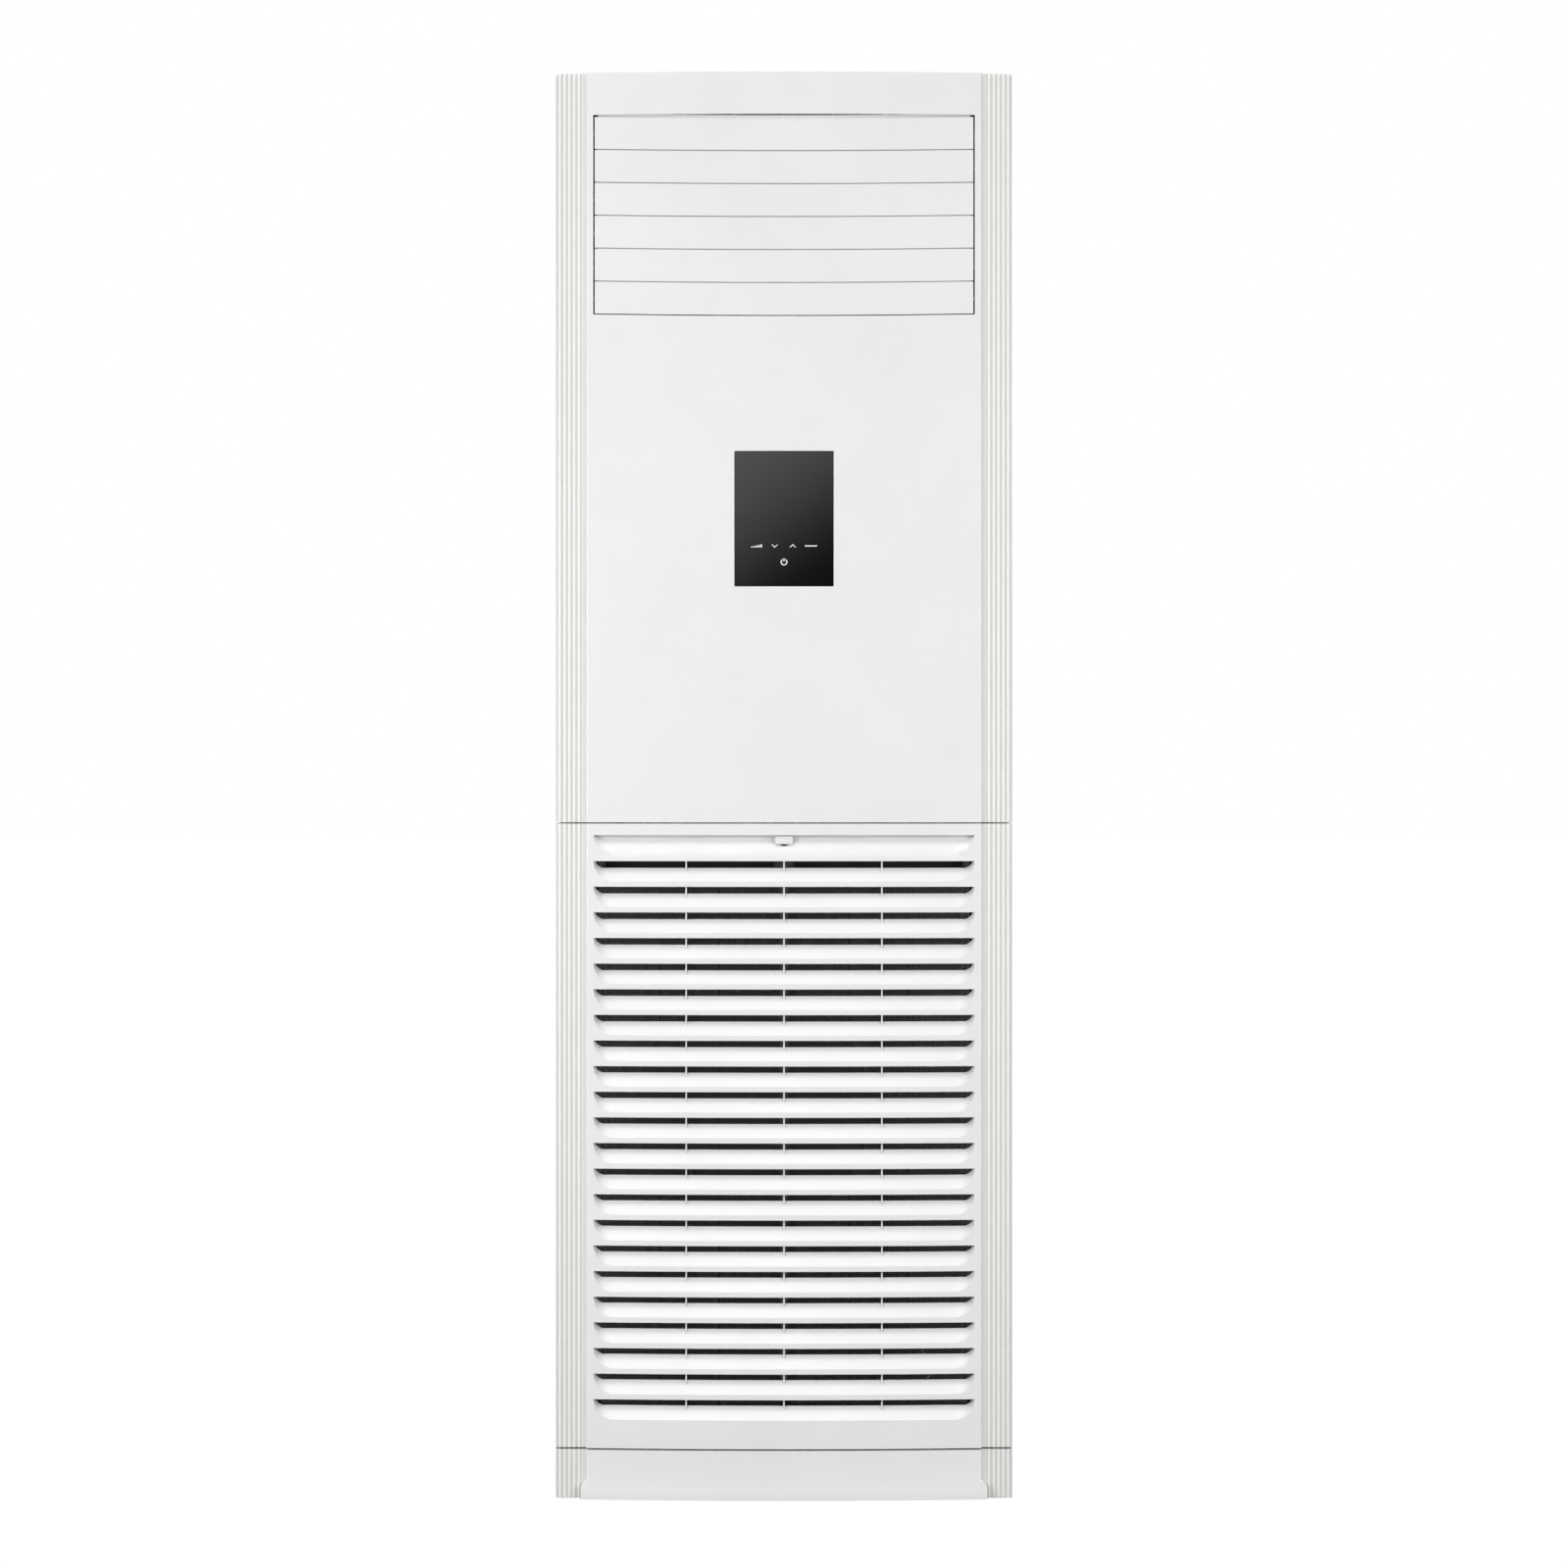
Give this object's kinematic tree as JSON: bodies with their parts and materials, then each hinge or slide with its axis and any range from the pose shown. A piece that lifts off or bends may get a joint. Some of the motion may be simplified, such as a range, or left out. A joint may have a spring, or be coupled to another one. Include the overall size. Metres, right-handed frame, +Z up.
{
  "type": "floor standing air conditioner",
  "caption": "Tall white cabinet air conditioner with coupled outlet louvres and vanes, a black touch display, and a hinged slotted intake grille with latch and filters.",
  "frame": {"origin": "on the floor, in the middle of the footprint", "axes": "+X to the right seen from the front, -Y out of the front, +Z up"},
  "size_m": [0.594, 0.39, 1.85],
  "materials": {
    "white_shell": "fine moulded texture",
    "black_glass": "gloss",
    "painted_steel": "powder coat",
    "zinc_steel": "zinc coated",
    "screw_steel": "turned",
    "motor_steel": "satin",
    "circuit_laminate": "satin",
    "filter_plastic": "net",
    "grey_plastic": "satin",
    "bush_plastic": "satin",
    "fin_aluminium": "bare",
    "copper": "drawn copper tube",
    "brass": "machined",
    "foam": "expanded beads",
    "rubber": "matt"
  },
  "bodies": {
    "cabinet": {"base_pan": "zinc_steel", "left_side_panel": "painted_steel", "right_side_panel": "painted_steel", "rear_panel": "painted_steel", "top_cover": "painted_steel", "cabinet_screws": "screw_steel", "centre_rail": "zinc_steel", "upper_front_panel": "white_shell", "display_glass": "black_glass", "display_board": "circuit_laminate", "hinge_brackets": "zinc_steel", "plinth": "white_shell", "outlet_frame": "grey_plastic", "louvre_bushes": "bush_plastic", "louvre_motor": "motor_steel", "vane_motor": "motor_steel", "scroll_front": "zinc_steel", "scroll_rear": "zinc_steel", "inlet_ring": "grey_plastic", "fan_motor": "motor_steel", "motor_bracket": "zinc_steel", "blower_deck": "zinc_steel", "coil_fins": "fin_aluminium", "coil_end_plates": "zinc_steel", "coil_bends": "copper", "coil_cover": "zinc_steel", "drain_pan": "grey_plastic", "drain_tube": "grey_plastic", "duct_liner": "foam", "gas_pipe": "copper", "liquid_pipe": "copper", "flare_unions": "brass", "pipe_grommet": "rubber", "control_box": "zinc_steel", "control_box_lid": "zinc_steel", "circuit_board": "circuit_laminate", "terminal_block": "bush_plastic", "cable_gland": "bush_plastic"},
    "grille": {"intake_grille": "white_shell"},
    "latch": {"latch_tab": "white_shell"},
    "filter_left": {"left_filter": "filter_plastic"},
    "filter_right": {"right_filter": "filter_plastic"},
    "louvre_link": {"louvre_link_bar": "bush_plastic"},
    "vane_link": {"vane_link_bar": "bush_plastic"},
    "fan": {"impeller": "grey_plastic", "motor_shaft": "screw_steel"},
    "louvre_1": {"louvre_1": "white_shell"},
    "louvre_2": {"louvre_2": "white_shell"},
    "louvre_3": {"louvre_3": "white_shell"},
    "louvre_4": {"louvre_4": "white_shell"},
    "louvre_5": {"louvre_5": "white_shell"},
    "louvre_6": {"louvre_6": "white_shell"},
    "vane_1": {"vane_1": "white_shell"},
    "vane_2": {"vane_2": "white_shell"},
    "vane_3": {"vane_3": "white_shell"},
    "vane_4": {"vane_4": "white_shell"},
    "vane_5": {"vane_5": "white_shell"},
    "vane_6": {"vane_6": "white_shell"},
    "vane_7": {"vane_7": "white_shell"}
  },
  "joints": [
    {"name": "grille_hinge", "type": "hinge", "parent": "cabinet", "child": "grille", "pos_m": [0, -0.163, 0.12], "axis": [1, 0, 0], "range_deg": [0, 30]},
    {"name": "latch_slide", "type": "slide", "parent": "grille", "child": "latch", "axis": [0, 0, -1], "range_m": [0, 0.0035], "stiffness_N_per_m": 250, "springref_m": -0.001},
    {"name": "left_filter_slide", "type": "slide", "parent": "grille", "child": "filter_left", "axis": [0, 0, 1], "range_m": [0, 0.03]},
    {"name": "right_filter_slide", "type": "slide", "parent": "grille", "child": "filter_right", "axis": [0, 0, 1], "range_m": [0, 0.03]},
    {"name": "louvre_1_hinge", "type": "hinge", "parent": "cabinet", "child": "louvre_1", "pos_m": [0, -0.163, 1.77215], "axis": [-1, 0, 0], "range_deg": [0, 80]},
    {"name": "louvre_2_hinge", "type": "hinge", "parent": "cabinet", "child": "louvre_2", "pos_m": [0, -0.163, 1.72945], "axis": [-1, 0, 0], "range_deg": [0, 80]},
    {"name": "louvre_3_hinge", "type": "hinge", "parent": "cabinet", "child": "louvre_3", "pos_m": [0, -0.163, 1.68675], "axis": [-1, 0, 0], "range_deg": [0, 80]},
    {"name": "louvre_4_hinge", "type": "hinge", "parent": "cabinet", "child": "louvre_4", "pos_m": [0, -0.163, 1.64405], "axis": [-1, 0, 0], "range_deg": [0, 80]},
    {"name": "louvre_5_hinge", "type": "hinge", "parent": "cabinet", "child": "louvre_5", "pos_m": [0, -0.163, 1.60135], "axis": [-1, 0, 0], "range_deg": [0, 80]},
    {"name": "louvre_6_hinge", "type": "hinge", "parent": "cabinet", "child": "louvre_6", "pos_m": [0, -0.163, 1.55865], "axis": [-1, 0, 0], "range_deg": [0, 80]},
    {"name": "louvre_link_pivot", "type": "hinge", "parent": "louvre_1", "child": "louvre_link", "pos_m": [-0.258, -0.1531, 1.78205], "axis": [-1, 0, 0], "range_deg": [-80, 0]},
    {"name": "vane_1_pivot", "type": "hinge", "parent": "cabinet", "child": "vane_1", "pos_m": [-0.198, -0.1, 1.668], "axis": [0, 0, 1], "range_deg": [-40, 40]},
    {"name": "vane_2_pivot", "type": "hinge", "parent": "cabinet", "child": "vane_2", "pos_m": [-0.132, -0.1, 1.668], "axis": [0, 0, 1], "range_deg": [-40, 40]},
    {"name": "vane_3_pivot", "type": "hinge", "parent": "cabinet", "child": "vane_3", "pos_m": [-0.066, -0.1, 1.668], "axis": [0, 0, 1], "range_deg": [-40, 40]},
    {"name": "vane_4_pivot", "type": "hinge", "parent": "cabinet", "child": "vane_4", "pos_m": [0, -0.1, 1.668], "axis": [0, 0, 1], "range_deg": [-40, 40]},
    {"name": "vane_5_pivot", "type": "hinge", "parent": "cabinet", "child": "vane_5", "pos_m": [0.066, -0.1, 1.668], "axis": [0, 0, 1], "range_deg": [-40, 40]},
    {"name": "vane_6_pivot", "type": "hinge", "parent": "cabinet", "child": "vane_6", "pos_m": [0.132, -0.1, 1.668], "axis": [0, 0, 1], "range_deg": [-40, 40]},
    {"name": "vane_7_pivot", "type": "hinge", "parent": "cabinet", "child": "vane_7", "pos_m": [0.198, -0.1, 1.668], "axis": [0, 0, 1], "range_deg": [-40, 40]},
    {"name": "vane_link_pivot", "type": "hinge", "parent": "vane_1", "child": "vane_link", "pos_m": [-0.198, -0.12, 1.522], "axis": [0, 0, 1], "range_deg": [-40, 40]},
    {"name": "fan_spin", "type": "hinge", "parent": "cabinet", "child": "fan", "pos_m": [-0.042, 0, 0.498], "axis": [0, 1, 0], "continuous": true}
  ],
  "couplings": [
    {"joint": "louvre_2_hinge", "follows": "louvre_1_hinge", "ratio": 1},
    {"joint": "louvre_3_hinge", "follows": "louvre_1_hinge", "ratio": 1},
    {"joint": "louvre_4_hinge", "follows": "louvre_1_hinge", "ratio": 1},
    {"joint": "louvre_5_hinge", "follows": "louvre_1_hinge", "ratio": 1},
    {"joint": "louvre_6_hinge", "follows": "louvre_1_hinge", "ratio": 1},
    {"joint": "louvre_link_pivot", "follows": "louvre_1_hinge", "ratio": -1},
    {"joint": "vane_2_pivot", "follows": "vane_1_pivot", "ratio": 1},
    {"joint": "vane_3_pivot", "follows": "vane_1_pivot", "ratio": 1},
    {"joint": "vane_4_pivot", "follows": "vane_1_pivot", "ratio": 1},
    {"joint": "vane_5_pivot", "follows": "vane_1_pivot", "ratio": 1},
    {"joint": "vane_6_pivot", "follows": "vane_1_pivot", "ratio": 1},
    {"joint": "vane_7_pivot", "follows": "vane_1_pivot", "ratio": 1},
    {"joint": "vane_link_pivot", "follows": "vane_1_pivot", "ratio": -1}
  ]
}
